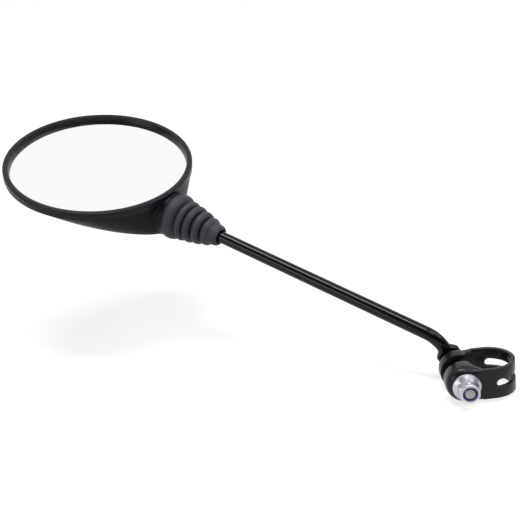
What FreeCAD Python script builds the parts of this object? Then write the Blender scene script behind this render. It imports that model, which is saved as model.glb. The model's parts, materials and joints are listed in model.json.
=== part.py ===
"""Round clamp-on rear-view mirror for a scooter handlebar.

Frame: the origin is the centre of the handlebar bore, +Z runs along the bar. The strap's ears and
the clamp bolt lie towards -X, the nut points to -Y, and the arm leaves from the +Y side.
The head has a frame of its own: x from the mirror's centre towards the neck, z out of the glass.
All sizes are millimetres.
"""
import FreeCAD, Part
import math
import os

Vector = FreeCAD.Vector
TINY = 1e-6

# Clearances
RUNNING_FIT = 0.05
FACE_GAP = 0.05
SOFT_GAP = 0.3
SEAT_GAP = 0.1
HOLE_GAP = 0.2

# Handlebar clamp
BAR_RADIUS = 11.1
BORE_RADIUS = BAR_RADIUS + SEAT_GAP
SHEET = 2.0
BAND_HEIGHT = 16.0
BOLT_TO_BAR = 14.1
EAR_RADIUS = 9.6
FOLD_RADIUS = 4.4
FADED_FOLD = 0.5
EAR_START = 6.0
EAR_SPACING = 7.0
FLANGE_TO_BAR = 0.6
SLOT_HEIGHT = 4.4
SLOT_START = 0.8

# Clamp bolt, washer and nut
BOLT_RADIUS = 3.0
BOLT_LENGTH = 40.0
BOLT_CHAMFER = 0.7
HEAD_FLATS = 10.0
HEAD_HEIGHT = 4.0
EAR_HOLE_RADIUS = BOLT_RADIUS + HOLE_GAP
WASHER_RADIUS = 6.0
WASHER_THICKNESS = 1.6
NUT_FLATS = 10.0
NUT_FLANGE_RADIUS = 7.1
NUT_FLANGE_EDGE = 1.1
NUT_HEIGHT = 8.0
NUT_CONE_HEIGHT = 2.6
NUT_CONE_RADIUS = 5.2
NUT_HEX_TOP = 7.2
NUT_COLLAR_RADIUS = 5.0
NUT_CRIMP = 0.9
INSERT_RADIUS = 3.8
INSERT_DEPTH = 2.2

# Arm
ROD_RADIUS = 3.6
EYE_THICKNESS = 4.0
EYE_WIDTH = 12.9
EYE_OVERLAP = 0.5
EYE_STRAIGHT = 6.0
EYE_NECK_END = 10.9
EYE_ANGLE = 60.9
BEND_FROM_EYE = 17.4
BEND_RADIUS = 14.0
ARM_AZIMUTH = 148.4
ARM_ELEVATION = 20.6
ARM_LENGTH = 240.0
FLAT_POWER = 5.0
SECTION_POINTS = 24
NECK_SECTIONS = 6

# Ball joint, placed along the head's own x
BALL_INSIDE_NECK = 1.5
BALL_RADIUS = 6.0
SPIGOT_RADIUS = 2.4
ROD_INTO_BALL = 4.0
SEAT_RADIUS = 8.0
SEAT_BACK = 7.0
SEAT_WRAP = 3.2
SEAT_FLARE = 1.0
LIP_LENGTH = 2.2
LIP_OPENING = 6.2
SPRING_HEIGHT = 2.4
SPRING_THICKNESS = 0.8
SPRING_HOLE = 4.0
PLUG_LENGTH = 4.0
PLUG_SLOT_WIDTH = 2.0
PLUG_SLOT_DEPTH = 1.6

# Mirror head
HEAD_ROLL = -12.3
ARM_BELOW_RIM = 16.2
RIM_RADIUS = 60.0
BEZEL_FACE = 3.8
BEZEL_LIP = 3.2
BEZEL_WALL = 2.0
BEZEL_ROUND = 0.9
BEZEL_BEVEL = 0.7
GLASS_RADIUS = RIM_RADIUS - BEZEL_WALL - HOLE_GAP
GLASS_THICKNESS = 1.8
GLASS_CURVE = 1200.0
PAD_INSET = 17.8
PAD_THICKNESS = 2.5
SHELL_WALL = 2.2
SHELL_INSET = 0.5
SHELL_DEPTH = 23.8
SHELL_OBLIQUE = 1.06
SHELL_LEVELS = 8
SHELL_LAST = 0.27
REBATE_HEIGHT = 0.5
REBATE_INSET = 0.5
NECK_RADIUS = 13.9
BEZEL_TO_NECK = 0.4
NECK_PAST_RIM = 2.0
NECK_REACH = 18.0
FAIRING_LENGTH = 36.0
FAIRING_TIP = 4.0
SPIGOT_WALL = 4.0
BARREL_WALL = 1.7

# Rubber boot: each ring's crest and groove as (distance from the neck's end, radius)
BOOT_CRESTS = ((5.0, 14.3), (11.1, 12.7), (16.4, 11.8), (22.4, 10.5), (28.3, 8.8))
BOOT_GROOVES = ((8.5, 11.4), (13.5, 10.0), (19.3, 8.8), (25.3, 7.4), (31.2, 6.1))
BOOT_WALL = 1.3
BOOT_SLEEVE = ((33.2, 6.5), (35.2, 5.8), (36.3, 4.9))
BOOT_MOUTH_WALL = 0.6
BOOT_MOUTH_DEPTH = 2.0

NECK_LENGTH = RIM_RADIUS + NECK_PAST_RIM
NECK_ROOT = NECK_LENGTH - NECK_REACH
BALL_FROM_MIRROR = NECK_LENGTH - BALL_INSIDE_NECK
PAD_RADIUS = GLASS_RADIUS - PAD_INSET

STRAP_OUTER = BORE_RADIUS + SHEET
EYE_FACE = STRAP_OUTER + FACE_GAP
EYE_CENTRE = Vector(-BOLT_TO_BAR, EYE_FACE + EYE_THICKNESS / 2, 0)
HEAD_SEAT = EYE_FACE + EYE_THICKNESS + FACE_GAP + WASHER_THICKNESS
SHELL_TOP = BEZEL_LIP + SEAT_GAP + GLASS_THICKNESS + SEAT_GAP
BEZEL_SKIRT = SHELL_TOP - SEAT_GAP


def unit_from_angles(azimuth, elevation):
    turn = math.radians(azimuth)
    rise = math.radians(elevation)
    return Vector(math.cos(turn) * math.cos(rise), math.sin(turn) * math.cos(rise), math.sin(rise))


EYE_DIRECTION = unit_from_angles(180, EYE_ANGLE)
ARM_DIRECTION = unit_from_angles(ARM_AZIMUTH, ARM_ELEVATION)
BEND_POINT = EYE_CENTRE + EYE_DIRECTION * BEND_FROM_EYE


def head_placement():
    """The head's frame: x points down the arm to the bend, z is the mirror's normal."""
    x_axis = ARM_DIRECTION * -1
    level = (Vector(0, 0, 1) - ARM_DIRECTION * ARM_DIRECTION.z).normalize()
    aside = ARM_DIRECTION.cross(level)
    roll = math.radians(HEAD_ROLL)
    z_axis = level * math.cos(roll) + aside * math.sin(roll)
    y_axis = z_axis.cross(x_axis)
    centre = BEND_POINT + ARM_DIRECTION * ARM_LENGTH + z_axis * ARM_BELOW_RIM
    columns = (x_axis, y_axis, z_axis, centre)
    rows = [[getattr(column, part) for column in columns] for part in ("x", "y", "z")]
    return FreeCAD.Placement(FreeCAD.Matrix(*(rows[0] + rows[1] + rows[2] + [0, 0, 0, 1])))


HEAD = head_placement()


def in_frame(shape):
    """Moves a shape made in the head's frame to its place on the arm."""
    moved = shape.copy()
    moved.Placement = HEAD.multiply(moved.Placement)
    return moved


def write(name, shape):
    os.makedirs("parts", exist_ok=True)
    shape.exportStep("parts/" + name + ".step")
    print(name, "solids", len(shape.Solids), "valid", shape.isValid(), "volume", round(shape.Volume, 1))


def cylinder(radius, start, end):
    axis = end - start
    return Part.makeCylinder(radius, axis.Length, start, axis)


def polygon_face(points):
    return Part.Face(Part.makePolygon(points + points[:1]))


def revolve_about_arm(points):
    """A closed (x, radius) outline turned about the arm's axis in the head's frame."""
    face = polygon_face([Vector(x, 0, radius - ARM_BELOW_RIM) for x, radius in points])
    return face.revolve(Vector(0, 0, -ARM_BELOW_RIM), Vector(1, 0, 0), 360)


def hexagon(flats, start, end):
    """A hexagonal prism along Y."""
    corner = flats / math.sqrt(3)
    points = []
    for step in range(6):
        angle = math.radians(60 * step + 30)
        points.append(Vector(-BOLT_TO_BAR + corner * math.cos(angle), start, corner * math.sin(angle)))
    return polygon_face(points).extrude(Vector(0, end - start, 0))


def turned_on_bolt(points):
    """A closed (radius, y) outline turned about the bolt's axis."""
    face = polygon_face([Vector(radius - BOLT_TO_BAR, y, 0) for radius, y in points])
    return face.revolve(Vector(-BOLT_TO_BAR, 0, 0), Vector(0, 1, 0), 360)


# Clamp
def ear_outline(inset):
    """Side outline of one ear: a round end that runs tangent into the leg."""
    radius = EAR_RADIUS - inset
    height = BAND_HEIGHT / 2 - inset
    reach = BOLT_TO_BAR - EAR_START
    span = math.hypot(reach, height)
    angle = math.atan2(height, reach) + math.acos(radius / span)
    touch = Vector(radius * math.cos(angle) - BOLT_TO_BAR, 0, radius * math.sin(angle))
    upper = Vector(-EAR_START, 0, height)
    lower = Vector(-EAR_START, 0, -height)
    touch_below = Vector(touch.x, 0, -touch.z)
    round_end = Part.Arc(touch, Vector(-BOLT_TO_BAR - radius, 0, 0), touch_below).toShape()
    sides = [Part.makeLine(upper, touch), round_end, Part.makeLine(touch_below, lower)]
    return Part.Wire(sides + [Part.makeLine(lower, upper)])


def is_fold(edge, plane):
    """True for an edge of the ear's outer face, apart from the one at the leg."""
    box = edge.BoundBox
    on_plane = abs(box.YMin - plane) < TINY and abs(box.YMax - plane) < TINY
    return on_plane and box.XMin < -EAR_START - TINY


def fold_radius(vertex, inset):
    """The press's fold is full round the ear's end and fades out towards the leg."""
    at_leg = abs(vertex.X + EAR_START) < TINY
    return FADED_FOLD if at_leg else FOLD_RADIUS - inset


def ear_block(inset, near_plane):
    """The ear's outline as a block whose outer edge has the fading fold."""
    plane = STRAP_OUTER - inset
    block = Part.Face(ear_outline(inset)).extrude(Vector(0, plane - near_plane, 0))
    block.translate(Vector(0, near_plane, 0))
    folds = []
    for number, edge in enumerate(block.Edges, 1):
        if is_fold(edge, plane):
            ends = [fold_radius(vertex, inset) for vertex in edge.Vertexes]
            folds.append((number, ends[0], ends[1]))
    document = FreeCAD.newDocument("ear")
    base = document.addObject("Part::Feature", "block")
    base.Shape = block
    rounded = document.addObject("Part::Fillet", "fold")
    rounded.Base = base
    rounded.Edges = folds
    document.recompute()
    shape = rounded.Shape.Solids[0].copy()
    FreeCAD.closeDocument(document.Name)
    return shape


def ear():
    """One flanged ear on the +Y side, with the flat leg that joins it to the band."""
    outer = ear_block(0, EAR_SPACING / 2)
    inner = ear_block(SHEET, EAR_SPACING / 2 - SHEET)
    leg = Part.makeBox(EAR_START, SHEET, BAND_HEIGHT, Vector(-EAR_START, BORE_RADIUS, -BAND_HEIGHT / 2))
    return outer.cut(inner).fuse(leg)


def half_loop(base):
    """The band round the bar over half its height, from one leg to the other."""
    height = BAND_HEIGHT / 2
    corner = Vector(0, -STRAP_OUTER, base)
    outside = Part.makeCylinder(STRAP_OUTER, height, Vector(0, 0, base))
    inside = Part.makeCylinder(BORE_RADIUS, height, Vector(0, 0, base))
    closed_end = Part.makeBox(STRAP_OUTER, 2 * STRAP_OUTER, height, corner)
    return outside.cut(inside).common(closed_end)


def strap_slot():
    """Slot through the band's closed end, with round ends."""
    radius = SLOT_HEIGHT / 2
    reach = STRAP_OUTER + SHEET
    box = Part.makeBox(reach, 2 * reach, SLOT_HEIGHT, Vector(SLOT_START + radius, -reach, -radius))
    end = Part.makeCylinder(radius, 2 * reach, Vector(SLOT_START + radius, -reach, 0), Vector(0, 1, 0))
    return box.fuse(end)


def clamp_strap():
    """Bent strap: the band's wall is two faces, above and below the slot's middle."""
    far = ear().removeSplitter()
    near = far.mirror(Vector(0, 0, 0), Vector(0, 1, 0))
    strap = far.fuse([near, half_loop(0), half_loop(-BAND_HEIGHT / 2)])
    low = Vector(0, 0, -BAND_HEIGHT)
    bar = Part.makeCylinder(BORE_RADIUS + FLANGE_TO_BAR, 2 * BAND_HEIGHT, low)
    between = Part.makeBox(2 * BORE_RADIUS, 2 * BORE_RADIUS, 2 * BAND_HEIGHT,
                           low - Vector(2 * BORE_RADIUS, BORE_RADIUS, 0))
    bolt_start = Vector(-BOLT_TO_BAR, -2 * STRAP_OUTER, 0)
    bolt_end = Vector(-BOLT_TO_BAR, 2 * STRAP_OUTER, 0)
    return strap.cut([bar.common(between), strap_slot(), cylinder(EAR_HOLE_RADIUS, bolt_start, bolt_end)])


def clamp_bolt():
    tip = HEAD_SEAT - BOLT_LENGTH
    shank = turned_on_bolt([(0, tip), (BOLT_RADIUS - BOLT_CHAMFER, tip), (BOLT_RADIUS, tip + BOLT_CHAMFER),
                            (BOLT_RADIUS, HEAD_SEAT), (0, HEAD_SEAT)])
    return shank.fuse(hexagon(HEAD_FLATS, HEAD_SEAT, HEAD_SEAT + HEAD_HEIGHT)).removeSplitter()


def bolt_washer():
    outer = HEAD_SEAT
    inner = HEAD_SEAT - WASHER_THICKNESS
    return turned_on_bolt([(BOLT_RADIUS + SEAT_GAP, inner), (WASHER_RADIUS, inner),
                           (WASHER_RADIUS, outer), (BOLT_RADIUS + SEAT_GAP, outer)])


def flange_nut():
    """Hexagon nut with a conical flange and a crimped collar that holds the insert."""
    seat = -STRAP_OUTER
    top = seat - NUT_HEIGHT
    cone_top = seat - NUT_CONE_HEIGHT
    hex_top = seat - NUT_HEX_TOP
    rim = INSERT_RADIUS + RUNNING_FIT
    crimp_low = top + NUT_CRIMP
    crimp_inner = NUT_COLLAR_RADIUS - NUT_CRIMP
    crimp_middle = NUT_CRIMP * (1 - math.sqrt(0.5))
    flange_edge = seat - NUT_FLANGE_EDGE
    flange = turned_on_bolt([(0, seat), (NUT_FLANGE_RADIUS, seat), (NUT_FLANGE_RADIUS, flange_edge),
                             (NUT_CONE_RADIUS, cone_top), (0, cone_top)])
    chamfer_start = hex_top + NUT_FLATS - NUT_COLLAR_RADIUS
    chamfer = turned_on_bolt([(0, seat), (NUT_FLATS, seat), (NUT_FLATS, chamfer_start),
                              (NUT_COLLAR_RADIUS, hex_top), (0, hex_top)])
    body = hexagon(NUT_FLATS, hex_top, seat).common(chamfer)
    collar = turned_on_bolt([(0, cone_top), (NUT_COLLAR_RADIUS, cone_top),
                             (NUT_COLLAR_RADIUS, crimp_low),
                             (NUT_COLLAR_RADIUS - crimp_middle, top + crimp_middle),
                             (crimp_inner, top), (0, top)])
    bore_start = Vector(-BOLT_TO_BAR, 0, 0)
    bore_end = Vector(-BOLT_TO_BAR, 2 * top, 0)
    pocket_start = Vector(-BOLT_TO_BAR, top + INSERT_DEPTH, 0)
    bore = cylinder(BOLT_RADIUS + SEAT_GAP, bore_start, bore_end)
    pocket = cylinder(rim, pocket_start, bore_end)
    return flange.fuse([body, collar]).cut([bore, pocket]).removeSplitter()


def nylon_insert():
    top = -STRAP_OUTER - NUT_HEIGHT
    base = top + INSERT_DEPTH
    outer = INSERT_RADIUS
    inner = BOLT_RADIUS + RUNNING_FIT
    return turned_on_bolt([(inner, base), (outer, base), (outer, top + SEAT_GAP), (inner, top + SEAT_GAP)])


# Arm
def flat_section(along, half_width, half_thickness, power):
    """A rounded section across the eye's direction, from a circle to a flattened bar."""
    across = EYE_DIRECTION.cross(Vector(0, 1, 0))
    centre = EYE_CENTRE + EYE_DIRECTION * along
    points = []
    for step in range(SECTION_POINTS):
        angle = 2 * math.pi * step / SECTION_POINTS
        cosine = math.cos(angle)
        sine = math.sin(angle)
        wide = math.copysign(abs(cosine) ** (2 / power), cosine) * half_width
        thick = math.copysign(abs(sine) ** (2 / power), sine) * half_thickness
        points.append(centre + across * wide + Vector(0, thick, 0))
    curve = Part.BSplineCurve()
    curve.interpolate(Points=points, PeriodicFlag=True)
    return Part.Wire(curve.toShape())


def arm_eye():
    """The rod's flattened end with its bolt hole."""
    half = EYE_WIDTH / 2
    across = EYE_DIRECTION.cross(Vector(0, 1, 0))
    base = EYE_CENTRE - Vector(0, EYE_THICKNESS / 2, 0)
    left = base + across * half
    right = base - across * half
    reach = EYE_DIRECTION * EYE_STRAIGHT
    round_end = Part.Arc(left, base - EYE_DIRECTION * half, right).toShape()
    outline = Part.Wire([round_end, Part.makeLine(right, right + reach),
                         Part.makeLine(right + reach, left + reach), Part.makeLine(left + reach, left)])
    plate = Part.Face(outline).extrude(Vector(0, EYE_THICKNESS, 0))
    inside_rod = ROD_RADIUS - FACE_GAP
    sections = []
    for step in range(NECK_SECTIONS):
        share = step / (NECK_SECTIONS - 1)
        swell = (1 + math.cos(math.pi * share)) / 2
        along = EYE_STRAIGHT + (EYE_NECK_END - EYE_STRAIGHT) * share
        half_width = inside_rod + (half - inside_rod) * swell
        half_thickness = inside_rod + (EYE_THICKNESS / 2 - inside_rod) * swell
        sections.append(flat_section(along, half_width, half_thickness, 2 + (FLAT_POWER - 2) * swell))
    sections.append(flat_section(EYE_NECK_END + EYE_OVERLAP, inside_rod, inside_rod, 2))
    return plate, Part.makeLoft(sections, True, False)


def mirror_arm():
    """Flattened eye, short straight, bend, long straight and the spigot for the ball."""
    plate, neck = arm_eye()
    turn = math.acos(EYE_DIRECTION.dot(ARM_DIRECTION))
    setback = BEND_RADIUS * math.tan(turn / 2)
    bend_start = BEND_POINT - EYE_DIRECTION * setback
    bend_end = BEND_POINT + ARM_DIRECTION * setback
    axis = EYE_DIRECTION.cross(ARM_DIRECTION).normalize()
    inward = axis.cross(EYE_DIRECTION)
    bend_centre = bend_start + inward * BEND_RADIUS
    disc = Part.Face(Part.Wire(Part.makeCircle(ROD_RADIUS, bend_start, EYE_DIRECTION)))
    bend = disc.revolve(bend_centre, axis, math.degrees(turn))
    ball = HEAD.multVec(Vector(BALL_FROM_MIRROR, 0, -ARM_BELOW_RIM))
    shoulder = ball - ARM_DIRECTION * ROD_INTO_BALL
    tip = ball + ARM_DIRECTION * ROD_INTO_BALL
    short = cylinder(ROD_RADIUS, EYE_CENTRE + EYE_DIRECTION * EYE_NECK_END, bend_start)
    long = cylinder(ROD_RADIUS, bend_end, shoulder)
    spigot = cylinder(SPIGOT_RADIUS, shoulder, tip)
    through = Vector(0, EYE_THICKNESS, 0)
    hole = cylinder(BOLT_RADIUS + RUNNING_FIT, EYE_CENTRE - through, EYE_CENTRE + through)
    return plate.fuse([neck, short, bend, long, spigot]).cut(hole).removeSplitter()


def arm_ball():
    """Ball pressed on the rod's spigot."""
    centre = Vector(BALL_FROM_MIRROR, 0, -ARM_BELOW_RIM)
    ball = Part.makeSphere(BALL_RADIUS, centre)
    along = Vector(1, 0, 0)
    beyond = along * 2 * BALL_RADIUS
    through = cylinder(SPIGOT_RADIUS + RUNNING_FIT, centre - beyond, centre + beyond)
    mouth_start = centre + along * (ROD_INTO_BALL - RUNNING_FIT)
    mouth = cylinder(ROD_RADIUS + RUNNING_FIT, mouth_start, centre + beyond)
    return in_frame(ball.cut([through, mouth]))


# Ball joint pieces in the neck
SEAT_START = BALL_FROM_MIRROR - SEAT_BACK
SEAT_END = BALL_FROM_MIRROR + SEAT_WRAP + SEAT_FLARE
SPRING_END = SEAT_START - SEAT_GAP
PLUG_END = SPRING_END - SPRING_HEIGHT
PLUG_START = PLUG_END - PLUG_LENGTH


def ball_seat():
    """Plastic cup that snaps over the ball past its equator."""
    radius = BALL_RADIUS + RUNNING_FIT
    mouth = math.sqrt(radius ** 2 - SEAT_WRAP ** 2)
    body = revolve_about_arm([(SEAT_START, 0), (SEAT_START, SEAT_RADIUS),
                              (SEAT_END, SEAT_RADIUS), (SEAT_END, 0)])
    hollow = Part.makeSphere(radius, Vector(BALL_FROM_MIRROR, 0, -ARM_BELOW_RIM))
    flare = revolve_about_arm([(BALL_FROM_MIRROR, 0), (BALL_FROM_MIRROR + SEAT_WRAP, mouth),
                               (SEAT_END, mouth + SEAT_FLARE), (SEAT_END, 0)])
    return in_frame(body.cut([hollow, flare]))


def pressure_spring():
    """Cone-shaped disc spring between the plug and the seat."""
    outer = SEAT_RADIUS - SEAT_GAP
    cone = revolve_about_arm([(PLUG_END, outer), (PLUG_END + SPRING_THICKNESS, outer),
                              (SPRING_END, SPRING_HOLE), (SPRING_END - SPRING_THICKNESS, SPRING_HOLE)])
    return in_frame(cone)


def spring_plug():
    """Screwed plug with a driver slot that loads the spring."""
    body = revolve_about_arm([(PLUG_START, 0), (PLUG_START, SEAT_RADIUS),
                              (PLUG_END, SEAT_RADIUS), (PLUG_END, 0)])
    slot = Part.makeBox(PLUG_SLOT_DEPTH, 4 * SEAT_RADIUS, PLUG_SLOT_WIDTH,
                        Vector(PLUG_START, -2 * SEAT_RADIUS, -ARM_BELOW_RIM - PLUG_SLOT_WIDTH / 2))
    return in_frame(body.cut(slot))


def boot_outline():
    """The bellows' section: round rings outside, an even wall inside."""
    edges = []
    back_face = (HOLE_GAP, NECK_RADIUS)
    start = back_face
    for crest, groove in zip(BOOT_CRESTS, BOOT_GROOVES):
        edges.append(Part.Arc(boot_point(start), boot_point(crest), boot_point(groove)).toShape())
        start = groove
    mouth = ROD_RADIUS + SOFT_GAP
    spigot = spigot_radius() + SOFT_GAP
    inner = [(x, radius - BOOT_WALL) for x, radius in BOOT_GROOVES]
    end, lip = BOOT_SLEEVE[-1]
    path = [start] + list(BOOT_SLEEVE) + [(end, lip - BOOT_MOUTH_WALL), (end - BOOT_MOUTH_DEPTH, mouth)]
    path += list(reversed(inner)) + [(SPIGOT_WALL + SHELL_WALL, spigot), (HOLE_GAP, spigot), back_face]
    for first, second in zip(path, path[1:]):
        edges.append(Part.makeLine(boot_point(first), boot_point(second)))
    return Part.Wire(edges)


def boot_point(place):
    return Vector(NECK_LENGTH + place[0], 0, place[1] - ARM_BELOW_RIM)


def rubber_boot():
    boot = Part.Face(boot_outline()).revolve(Vector(0, 0, -ARM_BELOW_RIM), Vector(1, 0, 0), 360)
    return in_frame(boot)


# Mirror head
def spigot_radius():
    return SEAT_RADIUS + RUNNING_FIT + SPIGOT_WALL - SOFT_GAP


def shell_circle(size, wall):
    """One level of the oblique shell: it shrinks with depth and shifts towards the neck."""
    full = RIM_RADIUS - SHELL_INSET
    shift = SHELL_OBLIQUE * full * (1 - size)
    level = -SHELL_TOP - SHELL_DEPTH * (1 - size ** 2) + wall
    return Part.Wire(Part.makeCircle(full * size - wall, Vector(shift, 0, level)))


def shell_solid(wall):
    sizes = [1 - (1 - SHELL_LAST) * step / (SHELL_LEVELS - 1) for step in range(SHELL_LEVELS)]
    return Part.makeLoft([shell_circle(size, wall) for size in sizes], True, False)


def hollow_shell():
    """The oblique shell with the rebate under the bezel, and the space inside it."""
    inside = shell_solid(SHELL_WALL)
    rebate_base = Vector(0, 0, -SHELL_TOP - REBATE_HEIGHT)
    rebate = Part.makeCylinder(RIM_RADIUS + BEZEL_TO_NECK, REBATE_HEIGHT, rebate_base)
    rebate_floor = RIM_RADIUS - SHELL_INSET - REBATE_INSET
    rebate = rebate.cut(Part.makeCylinder(rebate_floor, REBATE_HEIGHT, rebate_base))
    return shell_solid(0).cut(inside), inside, rebate


def mirror_housing():
    """Moulded shell with a neck, an inner barrel for the ball seat and a spigot under the boot."""
    axis = -ARM_BELOW_RIM
    neck_root = Vector(NECK_ROOT, 0, axis)
    neck_end = Vector(NECK_LENGTH, 0, axis)
    seat_end = Vector(SEAT_END + SEAT_GAP, 0, axis)
    lip_end = seat_end + Vector(LIP_LENGTH, 0, 0)
    bore = SEAT_RADIUS + RUNNING_FIT
    shell, inside, rebate = hollow_shell()
    under_bezel = Part.makeCylinder(RIM_RADIUS + BEZEL_TO_NECK, RIM_RADIUS, Vector(0, 0, -SHELL_TOP))
    fairing = Part.makeCone(NECK_RADIUS, FAIRING_TIP, FAIRING_LENGTH, neck_root, Vector(-1, 0, 0))
    neck = cylinder(NECK_RADIUS, neck_root, neck_end).fuse(fairing).cut(under_bezel).cut(inside)
    barrel = cylinder(bore + BARREL_WALL, Vector(PLUG_START, 0, axis), neck_end)
    spigot = cylinder(spigot_radius(), neck_end - Vector(SHELL_WALL, 0, 0), lip_end)
    housing = shell.fuse(neck).fuse(barrel).fuse(spigot).cut(rebate)
    housing = housing.cut(cylinder(bore, Vector(PLUG_START - SEAT_GAP, 0, axis), seat_end))
    housing = housing.cut(cylinder(LIP_OPENING, neck_root, lip_end + Vector(SHELL_WALL, 0, 0)))
    return in_frame(housing)


def bezel_ring():
    """Ring whose lip holds the glass, with a rounded outer edge and a bevelled inner edge."""
    inner = RIM_RADIUS - BEZEL_FACE
    skirt = RIM_RADIUS - BEZEL_WALL
    face_start = Vector(inner + BEZEL_BEVEL, 0, 0)
    face_end = Vector(RIM_RADIUS - BEZEL_ROUND, 0, 0)
    side_top = Vector(RIM_RADIUS, 0, -BEZEL_ROUND)
    middle = BEZEL_ROUND * (1 - math.sqrt(0.5))
    corner = Part.Arc(face_end, Vector(RIM_RADIUS - middle, 0, -middle), side_top).toShape()
    rest = [side_top, Vector(RIM_RADIUS, 0, -BEZEL_SKIRT), Vector(skirt, 0, -BEZEL_SKIRT),
            Vector(skirt, 0, -BEZEL_LIP), Vector(inner, 0, -BEZEL_LIP), face_start]
    lines = [Part.makeLine(first, second) for first, second in zip(rest, rest[1:])]
    section = Part.Face(Part.Wire([Part.makeLine(face_start, face_end), corner] + lines))
    return in_frame(section.revolve(Vector(0, 0, 0), Vector(0, 0, 1), 360))


def crown(radius):
    """How far the convex curve falls from the middle to this radius."""
    return GLASS_CURVE - math.sqrt(GLASS_CURVE ** 2 - radius ** 2)


def domed_disc(radius, top_at_edge, thickness):
    """A disc whose two faces follow the mirror's convex curve."""
    def arc(level):
        centre = Vector(0, 0, level + crown(radius))
        middle = Vector(radius / 2, 0, level + crown(radius) - crown(radius / 2))
        return centre, Part.Arc(centre, middle, Vector(radius, 0, level)).toShape()
    low_edge = top_at_edge - thickness
    top_centre, top = arc(top_at_edge)
    low_centre, low = arc(low_edge)
    side = Part.makeLine(Vector(radius, 0, top_at_edge), Vector(radius, 0, low_edge))
    axis = Part.makeLine(low_centre, top_centre)
    return Part.Face(Part.Wire([axis, top, side, low])).revolve(Vector(0, 0, 0), Vector(0, 0, 1), 360)


def mirror_glass():
    return in_frame(domed_disc(GLASS_RADIUS, -BEZEL_LIP - SEAT_GAP, GLASS_THICKNESS))


def glass_pad():
    """Foam disc on the glass's back."""
    glass_back = -BEZEL_LIP - SEAT_GAP - GLASS_THICKNESS
    level = glass_back + crown(GLASS_RADIUS) - crown(PAD_RADIUS) - SEAT_GAP
    return in_frame(domed_disc(PAD_RADIUS, level, PAD_THICKNESS))


write("clamp_strap", clamp_strap())
write("clamp_bolt", clamp_bolt())
write("bolt_washer", bolt_washer())
write("flange_nut", flange_nut())
write("nylon_insert", nylon_insert())
write("mirror_arm", mirror_arm())
write("arm_ball", arm_ball())
write("ball_seat", ball_seat())
write("pressure_spring", pressure_spring())
write("spring_plug", spring_plug())
write("rubber_boot", rubber_boot())
write("mirror_housing", mirror_housing())
write("bezel_ring", bezel_ring())
write("mirror_glass", mirror_glass())
write("glass_pad", glass_pad())
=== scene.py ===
# %% [markdown]
# # A clamp-on scooter mirror
# The mirror has a round convex glass in a black plastic head, a ball joint under a ribbed rubber boot,
# a bent steel rod, and a pressed strap that closes round a handlebar with one bolt.
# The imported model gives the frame: every piece in this file goes where that frame says.

# %% Load the frame
import json
import math

import bmesh
import bpy
from mathutils import Matrix, Vector


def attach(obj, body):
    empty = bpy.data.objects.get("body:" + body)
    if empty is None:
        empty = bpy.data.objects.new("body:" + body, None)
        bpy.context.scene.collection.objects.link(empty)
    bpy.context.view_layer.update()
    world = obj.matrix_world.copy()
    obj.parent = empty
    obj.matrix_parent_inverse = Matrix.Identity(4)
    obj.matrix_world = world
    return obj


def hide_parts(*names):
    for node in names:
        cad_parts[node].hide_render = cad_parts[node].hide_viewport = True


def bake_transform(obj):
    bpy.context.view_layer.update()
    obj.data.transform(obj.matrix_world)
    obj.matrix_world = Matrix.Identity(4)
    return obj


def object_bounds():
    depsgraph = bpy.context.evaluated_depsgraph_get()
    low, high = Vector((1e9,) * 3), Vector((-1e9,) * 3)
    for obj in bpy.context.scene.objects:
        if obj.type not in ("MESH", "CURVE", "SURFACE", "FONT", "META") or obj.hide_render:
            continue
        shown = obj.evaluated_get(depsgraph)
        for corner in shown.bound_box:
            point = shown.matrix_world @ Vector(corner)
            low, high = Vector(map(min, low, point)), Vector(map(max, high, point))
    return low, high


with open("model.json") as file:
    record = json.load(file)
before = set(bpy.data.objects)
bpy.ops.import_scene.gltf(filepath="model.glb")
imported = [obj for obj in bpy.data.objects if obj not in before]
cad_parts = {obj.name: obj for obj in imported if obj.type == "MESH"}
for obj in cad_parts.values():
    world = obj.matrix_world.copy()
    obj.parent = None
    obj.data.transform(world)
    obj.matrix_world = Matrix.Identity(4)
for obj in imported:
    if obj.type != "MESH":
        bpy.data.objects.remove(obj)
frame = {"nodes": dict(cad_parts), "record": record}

frame_box = [list(corner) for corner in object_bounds()]
joints = {joint["name"]: joint for joint in frame["record"]["behaviour"]["joints"]}
print("frame nodes:", sorted(frame["nodes"]))

# %% [markdown]
# ## Axes of the head
# The ball joint's hinges say where the neck points and how the head tilts. From them come the head's own
# axes: x down the rod, y across, z out of the glass. Building pieces along these axes and turning
# them into place at the end is easier than building them on a slant.

# %% Head axes from the joints
BALL_TO_CENTRE = 0.0605
ROD_BELOW_RIM = 0.0162

ball_centre = Vector(joints["ball_tilt"]["pos_m"])
down_rod = Vector(joints["ball_twist"]["axis"]).normalized()
across_head = Vector(joints["ball_tilt"]["axis"]).normalized()
out_of_glass = down_rod.cross(across_head)


def axes_to_matrix(x_axis, y_axis, z_axis, origin):
    turned = Matrix((x_axis, y_axis, z_axis)).transposed().to_4x4()
    return Matrix.Translation(origin) @ turned


neck_origin = ball_centre - down_rod * BALL_TO_CENTRE
rim_centre = neck_origin + out_of_glass * ROD_BELOW_RIM
head_space = axes_to_matrix(down_rod, across_head, out_of_glass, rim_centre)
neck_space = axes_to_matrix(across_head, out_of_glass, down_rod, neck_origin)
print("mirror centre at", [round(value, 4) for value in rim_centre])

# %% [markdown]
# ## Camera
# The photograph looks down at the mirror at about eighteen degrees, a little rolled, from less than half a
# metre. A camera can be aimed with constraints, but a matrix from three axes keeps the roll exact.

# %% Camera at the photograph's place
IMAGE_SIZE = 520
FOCAL_PIXELS = 760
SENSOR = 36.0
NEAREST = 0.01

camera_place = Vector((-0.0840, -0.3558, 0.1883))
camera_forward = Vector((-0.065, 0.951, -0.304)).normalized()
camera_up = Vector((0.119, 0.310, 0.943))

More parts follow.
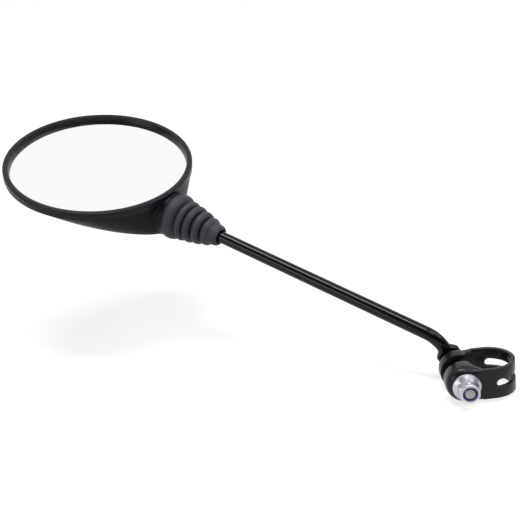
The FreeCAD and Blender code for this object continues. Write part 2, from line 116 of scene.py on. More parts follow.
camera_data = bpy.data.cameras.new("camera")
camera_data.sensor_width = SENSOR
camera_data.lens = FOCAL_PIXELS * SENSOR / IMAGE_SIZE
camera_data.clip_start = NEAREST
camera = bpy.data.objects.new("camera", camera_data)
bpy.context.scene.collection.objects.link(camera)
camera_right = camera_forward.cross(camera_up).normalized()
camera_top = camera_right.cross(camera_forward)
camera.matrix_world = axes_to_matrix(camera_right, camera_top, -camera_forward, camera_place)
bpy.context.scene.camera = camera
print("lens", round(camera_data.lens, 2), "mm")

# %% [markdown]
# ## Finishes
# Real paint, plastic and rubber are never one even colour. Each finish starts from one shader, with a noise
# that shifts the colour a little, one that changes how it shines, and one that raises a fine grain.
# The noise reads Object coordinates in metres, so a grain of half a millimetre has that size on every
# piece. Only the boot's grooves follow the mesh itself: a number stored on its points paints shade into them.

# %% Noise and ranges
NOISE_RANGE = (0.3, 0.7)


def noise(nodes, links, size, detail):
    place = nodes.new("ShaderNodeTexCoord")
    texture = nodes.new("ShaderNodeTexNoise")
    texture.inputs["Scale"].default_value = 1 / size
    texture.inputs["Detail"].default_value = detail
    links.new(place.outputs["Object"], texture.inputs["Vector"])
    return texture.outputs["Fac"]


def map_range(nodes, links, value, source, target):
    """Turns a value in the source range into one in the target range, each (low, high)."""
    span = nodes.new("ShaderNodeMapRange")
    for name, number in zip(("From Min", "From Max", "To Min", "To Max"), (*source, *target)):
        span.inputs[name].default_value = number
    links.new(value, span.inputs["Value"])
    return span.outputs["Result"]


print("noise is stretched from", NOISE_RANGE, "to what each finish needs")


# %% One helper for all finishes
def make_finish(name, dark, light, shine, grain, metallic=0.0, patch=0.02, gloss=0.5):
    """shine is (lowest, highest) roughness, grain (size, height) in metres, gloss how much it mirrors."""
    material = bpy.data.materials.new(name)
    material.use_nodes = True
    nodes = material.node_tree.nodes
    links = material.node_tree.links
    shader = nodes["Principled BSDF"]
    shader.inputs["Metallic"].default_value = metallic
    shader.inputs["Specular IOR Level"].default_value = gloss
    mix = nodes.new("ShaderNodeMix")
    mix.data_type = "RGBA"
    mix.inputs["A"].default_value = (*dark, 1)
    mix.inputs["B"].default_value = (*light, 1)
    patches = noise(nodes, links, patch, 3)
    links.new(map_range(nodes, links, patches, NOISE_RANGE, (0, 1)), mix.inputs["Factor"])
    links.new(mix.outputs["Result"], shader.inputs["Base Color"])
    rubbed = noise(nodes, links, patch / 3, 4)
    links.new(map_range(nodes, links, rubbed, NOISE_RANGE, shine), shader.inputs["Roughness"])
    bump = nodes.new("ShaderNodeBump")
    bump.inputs["Strength"].default_value = 1.0
    bump.inputs["Distance"].default_value = grain[1]
    links.new(noise(nodes, links, grain[0], 2), bump.inputs["Height"])
    links.new(bump.outputs["Normal"], shader.inputs["Normal"])
    return material


def paint_shade_by(material, attribute, shade_colour):
    """Paints shade into the colour: a number stored on the mesh darkens it where light hardly reaches, as in
    grooves.
    """
    nodes = material.node_tree.nodes
    links = material.node_tree.links
    colour = nodes["Principled BSDF"].inputs["Base Color"]
    # painted shade: the stored number pulls the colour towards a near-black shade colour
    stored = nodes.new("ShaderNodeAttribute")
    stored.attribute_name = attribute
    mix = nodes.new("ShaderNodeMix")
    mix.data_type = "RGBA"
    mix.inputs["B"].default_value = (*shade_colour, 1)
    links.new(colour.links[0].from_socket, mix.inputs["A"])
    links.new(stored.outputs["Fac"], mix.inputs["Factor"])
    links.new(mix.outputs["Result"], colour)


print("a finish has a colour, a shine, a grain and a gloss")

# %% Finishes of the head and the rod
housing_plastic = make_finish("housing_plastic", (0.0034, 0.0032, 0.0056), (0.0056, 0.0052, 0.0088),
                              (0.37, 0.41), (0.0004, 0.000008), gloss=0.10)
bezel_plastic = make_finish("bezel_plastic", (0.0065, 0.0062, 0.0085), (0.0100, 0.0095, 0.0130),
                            (0.28, 0.36), (0.0005, 0.000004), gloss=0.16)
boot_rubber = make_finish("boot_rubber", (0.032, 0.033, 0.042), (0.044, 0.045, 0.056),
                          (0.48, 0.60), (0.0005, 0.00001), gloss=0.25)
# painted shade in the boot's grooves, where light hardly reaches
paint_shade_by(boot_rubber, "groove", (0.003, 0.003, 0.004))
arm_paint = make_finish("arm_paint", (0.002, 0.002, 0.003), (0.004, 0.004, 0.005),
                        (0.12, 0.16), (0.0016, 0.000001), gloss=0.20)
silvering = make_finish("silvering", (0.93, 0.94, 0.94), (0.95, 0.95, 0.95),
                        (0.0, 0.02), (0.02, 0.0), metallic=1.0)
seat_plastic = make_finish("seat_plastic", (0.68, 0.67, 0.62), (0.76, 0.75, 0.70),
                           (0.40, 0.50), (0.0006, 0.000005))
pad_foam = make_finish("pad_foam", (0.20, 0.20, 0.21), (0.32, 0.32, 0.33),
                       (0.85, 0.95), (0.0010, 0.0002))
joint_steel = make_finish("joint_steel", (0.45, 0.45, 0.47), (0.56, 0.56, 0.57),
                          (0.15, 0.25), (0.0008, 0.000003), metallic=1.0, patch=0.006)
print("head and rod:", len(bpy.data.materials), "materials so far")

# %% Finishes of the clamp
strap_paint = make_finish("strap_paint", (0.008, 0.007, 0.009), (0.014, 0.0125, 0.015),
                          (0.20, 0.30), (0.0010, 0.000005), gloss=0.20)
zinc = make_finish("zinc", (0.46, 0.47, 0.51), (0.53, 0.54, 0.57),
                   (0.32, 0.40), (0.0008, 0.000002), metallic=1.0, patch=0.012)
bolt_steel = make_finish("bolt_steel", (0.29, 0.28, 0.28), (0.36, 0.35, 0.34),
                         (0.42, 0.55), (0.0005, 0.000004), metallic=1.0, patch=0.006)
nylon = make_finish("nylon", (0.045, 0.040, 0.18), (0.070, 0.062, 0.26),
                    (0.35, 0.45), (0.0005, 0.000004), gloss=0.3)

node_finish = {
    "clamp_strap": strap_paint, "clamp_bolt": bolt_steel, "bolt_washer": zinc, "flange_nut": zinc,
    "nylon_insert": nylon, "mirror_arm": arm_paint, "arm_ball": joint_steel, "ball_seat": seat_plastic,
    "pressure_spring": joint_steel, "spring_plug": housing_plastic, "rubber_boot": boot_rubber,
    "mirror_housing": housing_plastic, "bezel_ring": bezel_plastic, "mirror_glass": silvering,
    "glass_pad": pad_foam,
}
for node_name, material in node_finish.items():
    mesh = frame["nodes"][node_name].data
    mesh.materials.clear()
    mesh.materials.append(material)
print("finishes:", len({material.name for material in node_finish.values()}))

# %% [markdown]
# ## A way to turn a shape
# Most of the head is round, as if made on a lathe. By hand one would add a circle, extrude it, and scale each
# new ring. The helper does the same from a list of (height, radius), so a profile can be read like a drawing.
# A closed profile meets its first ring again; an open one has its two ends filled.

# %% Rings
ROUND = 96
WELD = 1e-6


def start_clean():
    bpy.ops.object.select_all(action="DESELECT")


def start_ring(name, radius, place, segments=ROUND):
    """A circle in edit mode with all of it selected."""
    start_clean()
    bpy.ops.mesh.primitive_circle_add(vertices=segments, radius=radius, location=place)
    ring = bpy.context.object
    ring.name = name
    bpy.ops.object.transform_apply(location=True, rotation=True, scale=True)
    bpy.ops.object.mode_set(mode="EDIT")
    bpy.ops.mesh.select_all(action="SELECT")
    return ring


def next_ring(step, centre, scale):
    bpy.ops.mesh.extrude_region_move(TRANSFORM_OT_translate={"value": step})
    bpy.ops.transform.resize(value=scale, center_override=centre)


def close_mesh(fill):
    if fill:
        bpy.ops.mesh.select_all(action="DESELECT")
        bpy.ops.mesh.select_non_manifold()
        bpy.ops.mesh.fill_holes(sides=0)
    bpy.ops.mesh.select_all(action="SELECT")
    bpy.ops.mesh.remove_doubles(threshold=WELD)
    bpy.ops.mesh.normals_make_consistent(inside=False)
    bpy.ops.object.mode_set(mode="OBJECT")


def turn_profile(name, profile, fill=False):
    height, radius = profile[0]
    piece = start_ring(name, radius, (0, 0, height))
    for next_height, next_radius in profile[1:]:
        ratio = next_radius / radius
        next_ring((0, 0, next_height - height), (0, 0, next_height), (ratio, ratio, 1))
        height, radius = next_height, next_radius
    close_mesh(fill)
    return piece


print("a turned piece has", ROUND, "segments")

# %% Placing and dressing a piece
SMOOTH_BELOW = 35


def only(piece):
    start_clean()
    piece.select_set(True)
    bpy.context.view_layer.objects.active = piece


def put_in(piece, space):
    """Moves a piece from its own axes to its place, and leaves it unturned there."""
    only(piece)
    piece.matrix_world = space
    bpy.ops.object.transform_apply(location=True, rotation=True, scale=True)


def dress(piece, finish, node, smooth_below=SMOOTH_BELOW):
    only(piece)
    bpy.ops.object.shade_smooth_by_angle(angle=math.radians(smooth_below))
    piece.data.materials.clear()
    piece.data.materials.append(finish)
    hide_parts(node)
    print(piece.name, len(piece.data.polygons), "faces")


print("faces that meet under", SMOOTH_BELOW, "degrees are shaded smooth")

# %% [markdown]
# ## Rubber boot
# The boot keeps rain out of the ball joint. It is moulded as five soft rings that shrink towards a sleeve
# on the rod. A stack of tori would show gaps at the grooves, so one profile runs along it: an arc over each
# ring, a tight groove between two, a sleeve with a small rolled lip, and an even wall inside. How deep each
# point lies below the crests is stored on the mesh, so that the finish can paint shade into the grooves.

# %% Boot sizes
NECK_END = 0.0620
NECK_RADIUS = 0.0139
BOOT_BACK = NECK_END + 0.0002
BOOT_CRESTS = ((5.0, 14.3), (11.1, 12.7), (16.4, 11.8), (22.4, 10.5), (28.3, 8.8))
BOOT_GROOVES = ((8.5, 11.4), (13.5, 10.0), (19.3, 8.8), (25.3, 7.4), (30.7, 7.3))
BOOT_SLEEVE = ((31.3, 7.00), (32.2, 6.80), (33.4, 6.62), (34.6, 6.42), (35.4, 6.15),
               (36.0, 5.70), (36.3, 5.15), (36.2, 4.70), (35.8, 4.35))
MOUTH_INSIDE = (34.3, 3.9)
BACK_INSIDE = ((6.2, 12.05), (0.2, 12.05))
BOOT_WALL = 0.0013
MM = 0.001


def along_neck(place):
    return (NECK_END + place[0] * MM, place[1] * MM)


print("boot length", max(BOOT_SLEEVE)[0], "mm")


# %% Arcs and grooves
def arc_through(first, middle, last, steps):
    """Points on the circle through three (height, radius) points, without the first."""
    a, b, c = Vector(first), Vector(middle), Vector(last)
    ab, ac = b - a, c - a
    cross = 2 * (ab.x * ac.y - ab.y * ac.x)
    centre = a + Vector((ac.y * ab.length_squared - ab.y * ac.length_squared,
                         ab.x * ac.length_squared - ac.x * ab.length_squared)) / cross
    start = math.atan2(a.y - centre.y, a.x - centre.x)
    sweep = math.atan2(c.y - centre.y, c.x - centre.x) - start
    sweep = sweep if sweep < 0 else sweep - 2 * math.pi
    radius = (a - centre).length
    angles = [start + sweep * step / steps for step in range(1, steps + 1)]
    return [(centre.x + radius * math.cos(angle), centre.y + radius * math.sin(angle)) for angle in angles]


# depth below the crests at which the painted groove shade is full
FULL_SHADE_DEPTH = 0.0020


def crest_radius(height):
    """Radius of the straight line from crest to crest at this height."""
    crests = [along_neck(crest) for crest in BOOT_CRESTS]
    for (low, first), (high, second) in zip(crests, crests[1:]):
        if height <= high:
            return first + (second - first) * (height - low) / (high - low)
    return crests[-1][1]


def mark_groove_shade(piece):
    """Stores how deep each point lies below the crests, for the finish to paint shade into the grooves."""
    # the stored number is the painted shade of the grooves
    depth = piece.data.attributes.new("groove", "FLOAT", "POINT")
    for vertex in piece.data.vertices:
        below = crest_radius(vertex.co.z) - math.hypot(vertex.co.x, vertex.co.y)
        in_bellows = vertex.co.z < along_neck(BOOT_CRESTS[-1])[0]
        depth.data[vertex.index].value = min(max(below / FULL_SHADE_DEPTH, 0), 1) if in_bellows else 0


print("a groove is darkest", FULL_SHADE_DEPTH / MM, "mm below the crests")

# %% Boot
RING_STEPS = 12

outside = [(BOOT_BACK, NECK_RADIUS)]
for crest, groove in zip(BOOT_CRESTS, BOOT_GROOVES):
    outside += arc_through(outside[-1], along_neck(crest), along_neck(groove), RING_STEPS)
sleeve = [along_neck(place) for place in BOOT_SLEEVE]
inside = [along_neck(MOUTH_INSIDE)]
for groove in reversed(BOOT_GROOVES):
    height, radius = along_neck(groove)
    inside.append((height, radius - BOOT_WALL))
inside += [along_neck(place) for place in BACK_INSIDE]
boot = turn_profile("boot", outside + sleeve + inside + outside[:1])
mark_groove_shade(boot)
put_in(boot, neck_space)
dress(boot, boot_rubber, "rubber_boot", smooth_below=50)
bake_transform(boot)

# %% [markdown]
# ## Bezel
# A black ring holds the glass. Its outer edge is well rounded and its inner edge falls to the glass in a
# short wall. Turning its section once round keeps both edges perfectly even.

# %% Bezel ring
RIM_RADIUS = 0.0600
BEZEL_FACE = 0.0038
BEZEL_LIP = 0.0032
BEZEL_SKIRT = 0.0051
BEZEL_WALL = 0.0020
INNER_EDGE = ((-0.0007, 0.0002), (-0.0002, 0.0005), (0, 0.0010))
SKIRT_EDGE = 0.0002
EDGE_ROUND = 0.0010
EDGE_STEPS = 8

bezel_inner = RIM_RADIUS - BEZEL_FACE
bezel_profile = [(-BEZEL_LIP, bezel_inner)]
bezel_profile += [(height, bezel_inner + outwards) for height, outwards in INNER_EDGE]
for step in range(EDGE_STEPS + 1):
    angle = math.pi / 2 * step / EDGE_STEPS
    height = EDGE_ROUND * (math.cos(angle) - 1)
    bezel_profile.append((height, RIM_RADIUS - EDGE_ROUND * (1 - math.sin(angle))))
bezel_profile += [(-BEZEL_SKIRT + SKIRT_EDGE, RIM_RADIUS), (-BEZEL_SKIRT, RIM_RADIUS - SKIRT_EDGE),
                  (-BEZEL_SKIRT, RIM_RADIUS - BEZEL_WALL), (-BEZEL_LIP, RIM_RADIUS - BEZEL_WALL)]
bezel = turn_profile("bezel", bezel_profile + bezel_profile[:1])
put_in(bezel, head_space)
dress(bezel, bezel_plastic, "bezel_ring")
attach(bezel, "head")

# %% [markdown]
# ## Glass
# The glass bulges slightly, to show more of the road. A flat disc would reflect like a bathroom mirror, so
# each ring drops along a circle of 1.2 metres. Many rings keep the reflection smooth.

# %% Convex glass
GLASS_SIDE_GAP = 0.0002
GLASS_LIP_GAP = 0.0001
GLASS_RADIUS = RIM_RADIUS - BEZEL_WALL - GLASS_SIDE_GAP
GLASS_THICKNESS = 0.0018
GLASS_CURVE = 1.2
GLASS_RINGS = 16
GLASS_EDGE = -BEZEL_LIP - GLASS_LIP_GAP
GLASS_CENTRE_RING = 0.0005


def glass_drop(radius):
    return GLASS_CURVE - math.sqrt(GLASS_CURVE ** 2 - radius ** 2)


glass_crown = GLASS_EDGE + glass_drop(GLASS_RADIUS)
glass_radii = [GLASS_CENTRE_RING + (GLASS_RADIUS - GLASS_CENTRE_RING) * step / GLASS_RINGS
               for step in range(GLASS_RINGS + 1)]
front = [(glass_crown - glass_drop(radius), radius) for radius in glass_radii]
back = [(height - GLASS_THICKNESS, radius) for height, radius in reversed(front)]
glass = turn_profile("glass", front + back, fill=True)
put_in(glass, head_space)
dress(glass, silvering, "mirror_glass", smooth_below=40)
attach(glass, "head")

# %% [markdown]
# ## Housing
# The shell behind the glass is deepest at the neck, like a spoon's bowl at its handle. Circles that shrink
# and slide towards the neck give that bowl, and a faired cone gives the neck. Joined and remeshed in small
# even cells, a smoothing pass melts the seam as a moulding tool would. The sharp rims are cut after that.

# %% Bowl
SHELL_TOP = 0.0052
SHELL_RADIUS = RIM_RADIUS - 0.0005
SHELL_DEPTH = 0.0238
SHELL_SLIDE = 1.06
SHELL_STEPS = 18
SHELL_LAST = 0.27
SPARE = 0.004


def bowl_level(size, wall):
    """(slide, height, radius) of one circle of the bowl, its wall taken off inside."""
    slide = SHELL_SLIDE * SHELL_RADIUS * (1 - size)
    height = -SHELL_TOP - SHELL_DEPTH * (1 - size ** 2) + wall
    return slide, height, SHELL_RADIUS * size - wall


def make_bowl(name, wall):
    slide, height, radius = bowl_level(1, wall)
    bowl = start_ring(name, radius, (0, 0, height + SPARE))
    next_ring((0, 0, -SPARE), (0, 0, height), (1, 1, 1))
    for step in range(1, SHELL_STEPS + 1):
        size = 1 - (1 - SHELL_LAST) * step / SHELL_STEPS
        new_slide, new_height, new_radius = bowl_level(size, wall)
        ratio = new_radius / radius
        move = (new_slide - slide, 0, new_height - height)
        next_ring(move, (new_slide, 0, new_height), (ratio, ratio, 1))
        slide, height, radius = new_slide, new_height, new_radius
    close_mesh(fill=True)
    return bowl


housing = make_bowl("housing", 0)
print("bowl:", len(housing.data.polygons), "faces")


# %% Neck
def turn_on_neck(name, profile):
    """A piece turned round the neck's axis, in the head's axes."""
    piece = turn_profile(name, profile, fill=True)
    put_in(piece, head_space.inverted() @ neck_space)
    return piece


def combine(piece, tool, operation):
    only(piece)
    step = piece.modifiers.new("combine", "BOOLEAN")
    step.object = tool
    step.operation = operation
    step.solver = "EXACT"
    bpy.ops.object.modifier_apply(modifier=step.name)
    bpy.data.objects.remove(tool)


NECK_ROOT = NECK_END - 0.018
FAIRING_START = NECK_ROOT - 0.036
FAIRING_TIP = 0.004

neck_profile = [(FAIRING_START, FAIRING_TIP), (NECK_ROOT, NECK_RADIUS), (NECK_END + SPARE, NECK_RADIUS)]
combine(housing, turn_on_neck("neck", neck_profile), "UNION")
print("joined bowl and neck:", len(housing.data.polygons), "faces")

# %% Melt the seam
CELL = 0.0009
MELT_PASSES = 30

only(housing)
cells = housing.modifiers.new("cells", "REMESH")
cells.mode = "VOXEL"
cells.voxel_size = CELL
bpy.ops.object.modifier_apply(modifier=cells.name)
melt = housing.modifiers.new("melt", "SMOOTH")
melt.factor = 0.5
melt.iterations = MELT_PASSES
bpy.ops.object.modifier_apply(modifier=melt.name)
print("melted:", len(housing.data.polygons), "faces")

# %% Hollow it
SHELL_WALL = 0.0022
SEAT_BORE = 0.00805
BARREL = 0.00975
BARREL_START = 0.0470

hollow = make_bowl("hollow", SHELL_WALL)
barrel = turn_on_neck("barrel", [(BARREL_START, BARREL), (NECK_END + SPARE, BARREL)])
combine(hollow, barrel, "DIFFERENCE")
combine(housing, hollow, "DIFFERENCE")
bore = turn_on_neck("bore", [(BARREL_START - SPARE, SEAT_BORE), (NECK_END + 2 * SPARE, SEAT_BORE)])
combine(housing, bore, "DIFFERENCE")
print("hollowed:", len(housing.data.polygons), "faces")

# %% Cut the rims
REBATE = 0.0002
REBATE_INNER = SHELL_RADIUS - 0.0005
PAST_RIM = RIM_RADIUS + 0.0004

above_rim = turn_profile("above_rim", [(-SHELL_TOP, PAST_RIM), (SPARE, PAST_RIM)], fill=True)
combine(housing, above_rim, "DIFFERENCE")
rebate_profile = [(-SHELL_TOP - REBATE, REBATE_INNER), (-SHELL_TOP - REBATE, PAST_RIM),
                  (-SHELL_TOP, PAST_RIM), (-SHELL_TOP, REBATE_INNER)]
rebate = turn_profile("rebate", rebate_profile + rebate_profile[:1])
combine(housing, rebate, "DIFFERENCE")
only(housing)
bpy.ops.object.mode_set(mode="EDIT")
bpy.ops.mesh.select_all(action="SELECT")
bpy.ops.mesh.bisect(plane_co=(NECK_END, 0, 0), plane_no=(1, 0, 0), use_fill=True, clear_outer=True)
bpy.ops.object.mode_set(mode="OBJECT")
put_in(housing, head_space)
dress(housing, housing_plastic, "mirror_housing", smooth_below=40)
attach(housing, "head")

# %% [markdown]
# ## Rod
# The arm is one steel rod: its end is pressed flat into an eye for the bolt, then it bends and runs straight
# to the ball. It could be a curve with a bevel, but a curve can't flatten. So a ring starts at the bend, goes
# down into the eye while its sides are pressed, and then the first ring is spun round the bend and drawn
# out. A few smoothing passes melt the rings where the round rod turns flat.

# %% Eye axes
ROD_RADIUS = 0.0036
EYE_HALF_WIDTH = 0.00645
EYE_HALF_THICKNESS = 0.0020
EYE_STRAIGHT = 0.0067
EYE_NECK_END = 0.0109
EYE_ANGLE = math.radians(60.9)
EYE_FACE = 0.01325
BEND_FROM_EYE = 0.0174
BEND_RADIUS = 0.0140

bolt_place = Vector(joints["arm_swing"]["pos_m"])
eye_up = Vector((-math.cos(EYE_ANGLE), 0, math.sin(EYE_ANGLE)))
eye_thick = Vector((0, 1, 0))
eye_centre = Vector((bolt_place.x, EYE_FACE + EYE_HALF_THICKNESS, bolt_place.z))
eye_space = axes_to_matrix(eye_thick.cross(eye_up), eye_thick, eye_up, eye_centre)
rod_way = eye_space.to_3x3().inverted() @ -down_rod
bend_angle = rod_way.angle(Vector((0, 0, 1)))
bend_setback = BEND_RADIUS * math.tan(bend_angle / 2)
bend_low = BEND_FROM_EYE - bend_setback
print("bend of", round(math.degrees(bend_angle), 1), "degrees")

# %% Rings of the eye
NECK_RINGS = 10
END_RINGS = 14
END_SHARE = END_RINGS + 0.4

rings = []
for step in range(NECK_RINGS + 1):
    share = step / NECK_RINGS
    swell = (1 - math.cos(math.pi * share)) / 2
    rings.append((EYE_NECK_END + (EYE_STRAIGHT - EYE_NECK_END) * share,
                  ROD_RADIUS + (EYE_HALF_WIDTH - ROD_RADIUS) * swell,
                  ROD_RADIUS + (EYE_HALF_THICKNESS - ROD_RADIUS) * swell))
for step in range(END_RINGS + 1):
    angle = math.pi / 2 * step / END_SHARE
    rings.append((-EYE_HALF_WIDTH * math.sin(angle), EYE_HALF_WIDTH * math.cos(angle), EYE_HALF_THICKNESS))
print("eye rings:", len(rings))


# %% Press the eye
def select_where(wanted):
    """Selects the vertices in edit mode for which wanted(place) is true."""
    mesh = bmesh.from_edit_mesh(bpy.context.object.data)
    for vertex in mesh.verts:
        vertex.select_set(wanted(vertex.co))
    mesh.select_flush_mode()
    bmesh.update_edit_mesh(bpy.context.object.data)


def select_ring(height):
    select_where(lambda place: abs(place.z - height) < WELD)


def press_ring(height, half_thickness):
    """Flattens the ring at this height between two dies."""
    for side in (1, -1):
        select_where(lambda place: abs(place.z - height) < WELD and place.y * side > half_thickness)
        bpy.ops.transform.resize(value=(1, 0, 1), center_override=(0, side * half_thickness, height))
    select_ring(height)


ROD_ROUND = 64
NECK_SMOOTHING = 4
NECK_SPARED = 0.0007

arm = start_ring("arm", ROD_RADIUS, (0, 0, bend_low), ROD_ROUND)
height, width = bend_low, ROD_RADIUS
for new_height, new_width, half_thickness in rings:
    next_ring((0, 0, new_height - height), (0, 0, new_height), (new_width / width, 1, 1))
    press_ring(new_height, half_thickness)
    height, width = new_height, new_width
select_where(lambda place: EYE_STRAIGHT + NECK_SPARED < place.z < bend_low - WELD)
bpy.ops.mesh.vertices_smooth(factor=0.5, repeat=NECK_SMOOTHING)
print("pressed to", 2 * EYE_HALF_THICKNESS / MM, "mm")

# %% Bend and draw out the rod
BALL_SHOULDER = 0.0040
SPIGOT_RADIUS = 0.0024
BEND_STEPS = 24

select_ring(bend_low)
bend_axis = Vector((0, 0, 1)).cross(rod_way).normalized()
bend_centre = Vector((0, 0, bend_low)) + bend_axis.cross(Vector((0, 0, 1))) * BEND_RADIUS
bpy.ops.mesh.spin(steps=BEND_STEPS, angle=-bend_angle, center=bend_centre, axis=bend_axis)
ball_in_eye = eye_space.inverted() @ ball_centre
bend_top = Vector((0, 0, BEND_FROM_EYE)) + rod_way * bend_setback
shoulder = ball_in_eye - rod_way * BALL_SHOULDER
bpy.ops.mesh.extrude_region_move(TRANSFORM_OT_translate={"value": shoulder - bend_top})
ratio = SPIGOT_RADIUS / ROD_RADIUS
next_ring((0, 0, 0), shoulder, (ratio, ratio, ratio))
bpy.ops.mesh.extrude_region_move(TRANSFORM_OT_translate={"value": rod_way * 2 * BALL_SHOULDER})
close_mesh(fill=True)
print("straight rod of", round((shoulder - bend_top).length / MM, 1), "mm")

# %% Drill the eye
BOLT_RADIUS = 0.0030
DRILL_RADIUS = BOLT_RADIUS + 0.00005
DRILL_REACH = 0.01

put_in(arm, eye_space)
drill = turn_profile("drill", [(-DRILL_REACH, DRILL_RADIUS), (DRILL_REACH, DRILL_RADIUS)], fill=True)
put_in(drill, Matrix.Translation(eye_centre) @ Matrix.Rotation(math.pi / 2, 4, "X"))
combine(arm, drill, "DIFFERENCE")
dress(arm, arm_paint, "mirror_arm", smooth_below=60)
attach(arm, "arm")

# %% [markdown]
# ## Lock nut
# The nut is pressed in one piece: a hexagon, a flange that spreads its load, and a rim rolled over a nylon
# ring that grips the thread. A hexagonal prism with bevelled edges is cut to a turned dome, and joined to a
# turned flange. The dome rounds all six corners at once, just as the press does.

# %% Nut from a hexagon, a dome and a flange
STRAP_OUTER = 0.0132
NUT_FLATS = 0.0100
NUT_EDGE = 0.0003
NUT_DOME = ((0, 5.90), (6.3, 5.80), (6.7, 5.45), (7.0, 5.05), (7.2, 4.97), (7.65, 4.92), (7.9, 4.70),
            (8.0, 4.40))
NUT_FLANGE = ((0, 7.10), (0.8, 7.10), (1.05, 7.02), (1.2, 6.85), (2.6, 5.20), (3.2, 4.60))


def in_metres(profile):
    return [(height * MM, radius * MM) for height, radius in profile]


nut_top = NUT_DOME[-1][0] * MM
start_clean()
bpy.ops.mesh.primitive_cylinder_add(vertices=6, radius=NUT_FLATS / math.sqrt(3), depth=nut_top,
                                    location=(0, 0, nut_top / 2))
nut = bpy.context.object
nut.name = "nut"
bpy.ops.object.transform_apply(location=True, rotation=True, scale=True)
bpy.ops.object.mode_set(mode="EDIT")
bpy.ops.mesh.select_all(action="SELECT")
bpy.ops.mesh.bevel(offset=NUT_EDGE, segments=3, affect="EDGES")
bpy.ops.object.mode_set(mode="OBJECT")
combine(nut, turn_profile("dome", in_metres(NUT_DOME), fill=True), "INTERSECT")
combine(nut, turn_profile("flange", in_metres(NUT_FLANGE), fill=True), "UNION")
print("solid nut:", len(nut.data.polygons), "faces")

# %% Pocket and thread of the nut
INSERT_RADIUS = 0.00385
INSERT_DEPTH = 0.0022
THREAD_RADIUS = BOLT_RADIUS + 0.0001

pocket = [(nut_top - INSERT_DEPTH, INSERT_RADIUS), (nut_top + SPARE, INSERT_RADIUS)]
combine(nut, turn_profile("pocket", pocket, fill=True), "DIFFERENCE")
thread = [(-SPARE, THREAD_RADIUS), (nut_top + SPARE, THREAD_RADIUS)]
combine(nut, turn_profile("thread", thread, fill=True), "DIFFERENCE")
nut_seat = Matrix.Translation((bolt_place.x, -STRAP_OUTER, bolt_place.z))
put_in(nut, nut_seat @ Matrix.Rotation(math.pi / 2, 4, "X"))
dress(nut, zinc, "flange_nut", smooth_below=25)
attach(nut, "clamp")

# %% [markdown]
# ## Strap, bolt and washer
# These pieces are pressed or turned metal, and the frame already has their true shapes. Only their
# knife-sharp edges look wrong, because real edges catch light. Each copy is welded, its flat parts are
# merged, and a small bevel rounds every edge.

# %% Round the edges of the metal pieces
FLAT_ANGLE = math.radians(0.5)
SHARP_ANGLE = math.radians(32)
EDGE_SEGMENTS = 3


def round_edges(node, name, width, finish):
    source = frame["nodes"][node]
    piece = source.copy()
    piece.data = source.data.copy()
    piece.name = name
    bpy.context.scene.collection.objects.link(piece)
    place = source.matrix_world.copy()
    piece.parent = None
    put_in(piece, place)
    bpy.ops.object.mode_set(mode="EDIT")
    bpy.ops.mesh.select_all(action="SELECT")
    bpy.ops.mesh.remove_doubles(threshold=WELD)
    bpy.ops.mesh.dissolve_limited(angle_limit=FLAT_ANGLE)
    bpy.ops.object.mode_set(mode="OBJECT")
    edge = piece.modifiers.new("edge", "BEVEL")
    edge.width = width
    edge.segments = EDGE_SEGMENTS
    edge.limit_method = "ANGLE"
    edge.angle_limit = SHARP_ANGLE
    bpy.ops.object.modifier_apply(modifier=edge.name)
    dress(piece, finish, node)
    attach(piece, "clamp")


round_edges("clamp_strap", "strap", 0.00030, strap_paint)
round_edges("clamp_bolt", "bolt", 0.00020, bolt_steel)
round_edges("bolt_washer", "washer", 0.00015, zinc)

# %% [markdown]
# ## Floor
# The mirror was photographed on plain white. A grey floor takes the soft shadow, and a glow that only the
# camera and reflections see lifts it to white. The glow grows with the distance from the mirror, where
# the lamps no longer reach, so that the floor stays white to the horizon without brighter lamps.

# %% Floor plane
FLOOR_GAP = 0.0005
FLOOR_REACH = 60.0

start_clean()
floor_level = frame_box[0][2] - FLOOR_GAP
middle = (Vector(frame_box[0]) + Vector(frame_box[1])) / 2
bpy.ops.mesh.primitive_plane_add(size=FLOOR_REACH, location=(0, 0, floor_level))
floor = bpy.context.object
floor.name = "floor"
print("floor at", round(floor_level / MM, 2), "mm")


# %% Floor finish
def join_values(nodes, links, operation, first, second):
    node = nodes.new("ShaderNodeMath")
    node.operation = operation
    links.new(first, node.inputs[0])
    links.new(second, node.inputs[1])
    return node.outputs[0]


FLOOR_COLOUR = (0.40, 0.40, 0.40, 1)
FLOOR_ROUGHNESS = 0.9
NEAR_AND_FAR = (0.25, 1.2)
GLOW_NEAR_AND_FAR = (0.74, 1.0)

floor_white = bpy.data.materials.new("floor_white")
floor_white.use_nodes = True
nodes = floor_white.node_tree.nodes
links = floor_white.node_tree.links
shader = nodes["Principled BSDF"]
shader.inputs["Base Color"].default_value = FLOOR_COLOUR
shader.inputs["Roughness"].default_value = FLOOR_ROUGHNESS
shader.inputs["Specular IOR Level"].default_value = 0.0
shader.inputs["Emission Color"].default_value = (1, 1, 1, 1)
rays = nodes.new("ShaderNodeLightPath").outputs
seen = join_values(nodes, links, "MAXIMUM", rays["Is Camera Ray"], rays["Is Glossy Ray"])
seen = join_values(nodes, links, "MAXIMUM", seen, rays["Is Transmission Ray"])
away = nodes.new("ShaderNodeVectorMath")
away.operation = "DISTANCE"
away.inputs[1].default_value = (middle.x, middle.y, 0)
links.new(nodes.new("ShaderNodeTexCoord").outputs["Object"], away.inputs[0])
glow = map_range(nodes, links, away.outputs["Value"], NEAR_AND_FAR, GLOW_NEAR_AND_FAR)
glow = join_values(nodes, links, "MULTIPLY", seen, glow)
links.new(glow, shader.inputs["Emission Strength"])
floor.data.materials.append(floor_white)
print("floor glow", GLOW_NEAR_AND_FAR)

# %% [markdown]
# ## World
# To the camera the world is plain white. Reflections see it white behind and above, and dim on the
# camera's side, as a room is, so that black paint keeps its depth. The light that it sheds is soft, and
# stronger from the camera's side, so that the near walls of the head don't sink into black.

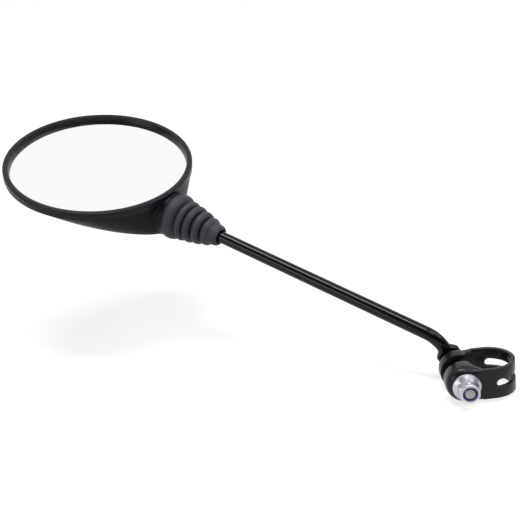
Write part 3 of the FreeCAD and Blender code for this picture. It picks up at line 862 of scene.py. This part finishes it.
# %% World
FRONT_AMBIENT = 0.42
BACK_AMBIENT = 0.14
ROOM_GLOSS = 0.08
LEAN_UP = 0.6
ROOM_EDGE = (-0.15, 0.45)
AMBIENT_EDGE = (-0.8, 0.8)

world = bpy.data.worlds.new("studio")
bpy.context.scene.world = world
world.use_nodes = True
nodes = world.node_tree.nodes
links = world.node_tree.links
background = nodes["Background"]
background.inputs["Color"].default_value = (1, 1, 1, 1)
rays = nodes.new("ShaderNodeLightPath").outputs
way = nodes.new("ShaderNodeSeparateXYZ")
links.new(nodes.new("ShaderNodeTexCoord").outputs["Generated"], way.inputs["Vector"])
lean = nodes.new("ShaderNodeMath")
lean.operation = "MULTIPLY_ADD"
lean.inputs[1].default_value = LEAN_UP
links.new(way.outputs["Z"], lean.inputs[0])
links.new(way.outputs["Y"], lean.inputs[2])
room = map_range(nodes, links, lean.outputs[0], ROOM_EDGE, (ROOM_GLOSS, 1.0))
ambient = map_range(nodes, links, lean.outputs[0], AMBIENT_EDGE, (FRONT_AMBIENT, BACK_AMBIENT))
reflected = join_values(nodes, links, "MAXIMUM", rays["Is Glossy Ray"], rays["Is Transmission Ray"])
unseen_level = nodes.new("ShaderNodeMix")
links.new(reflected, unseen_level.inputs["Factor"])
links.new(ambient, unseen_level.inputs["A"])
links.new(room, unseen_level.inputs["B"])
level = nodes.new("ShaderNodeMix")
level.inputs["B"].default_value = 1.0
links.new(rays["Is Camera Ray"], level.inputs["Factor"])
links.new(unseen_level.outputs["Result"], level.inputs["A"])
links.new(level.outputs["Result"], background.inputs["Strength"])
print("world white to the camera, ambient", BACK_AMBIENT, "to", FRONT_AMBIENT)

# %% [markdown]
# ## Lamps
# Four soft lamps light the mirror at a plain level. The long one overhead lies along the rod and draws the
# bright line on it. The one on the left shapes the boot's rings, the front one the nut and the strap, and
# the right one the bend of the rod.

# %% Lamps
def soft_lamp(name, place, aim, size, power):
    lamp_data = bpy.data.lights.new(name, "AREA")
    lamp_data.shape = "RECTANGLE"
    lamp_data.size = size[0]
    lamp_data.size_y = size[1]
    lamp_data.energy = power
    lamp = bpy.data.objects.new(name, lamp_data)
    bpy.context.scene.collection.objects.link(lamp)
    lamp.location = place
    lamp.rotation_euler = (Vector(aim) - Vector(place)).to_track_quat("-Z", "Y").to_euler()


along_rod = Vector((0.064, -0.039, 0))
soft_lamp("overhead", (-0.146, -0.085, 0.99), middle + along_rod, (0.48, 0.20), 5.5)
soft_lamp("left", (-0.90, -0.60, 0.30), middle, (0.5, 0.5), 2.5)
soft_lamp("front", (0.15, -0.44, 0.78), middle, (0.30, 0.30), 1.2)
soft_lamp("right", (0.62, -0.10, 0.75), middle, (0.6, 0.6), 3.6)

# %% [markdown]
# ## View settings
# The view transform is set to Standard.

# %% View settings
bpy.context.scene.view_settings.view_transform = "Standard"
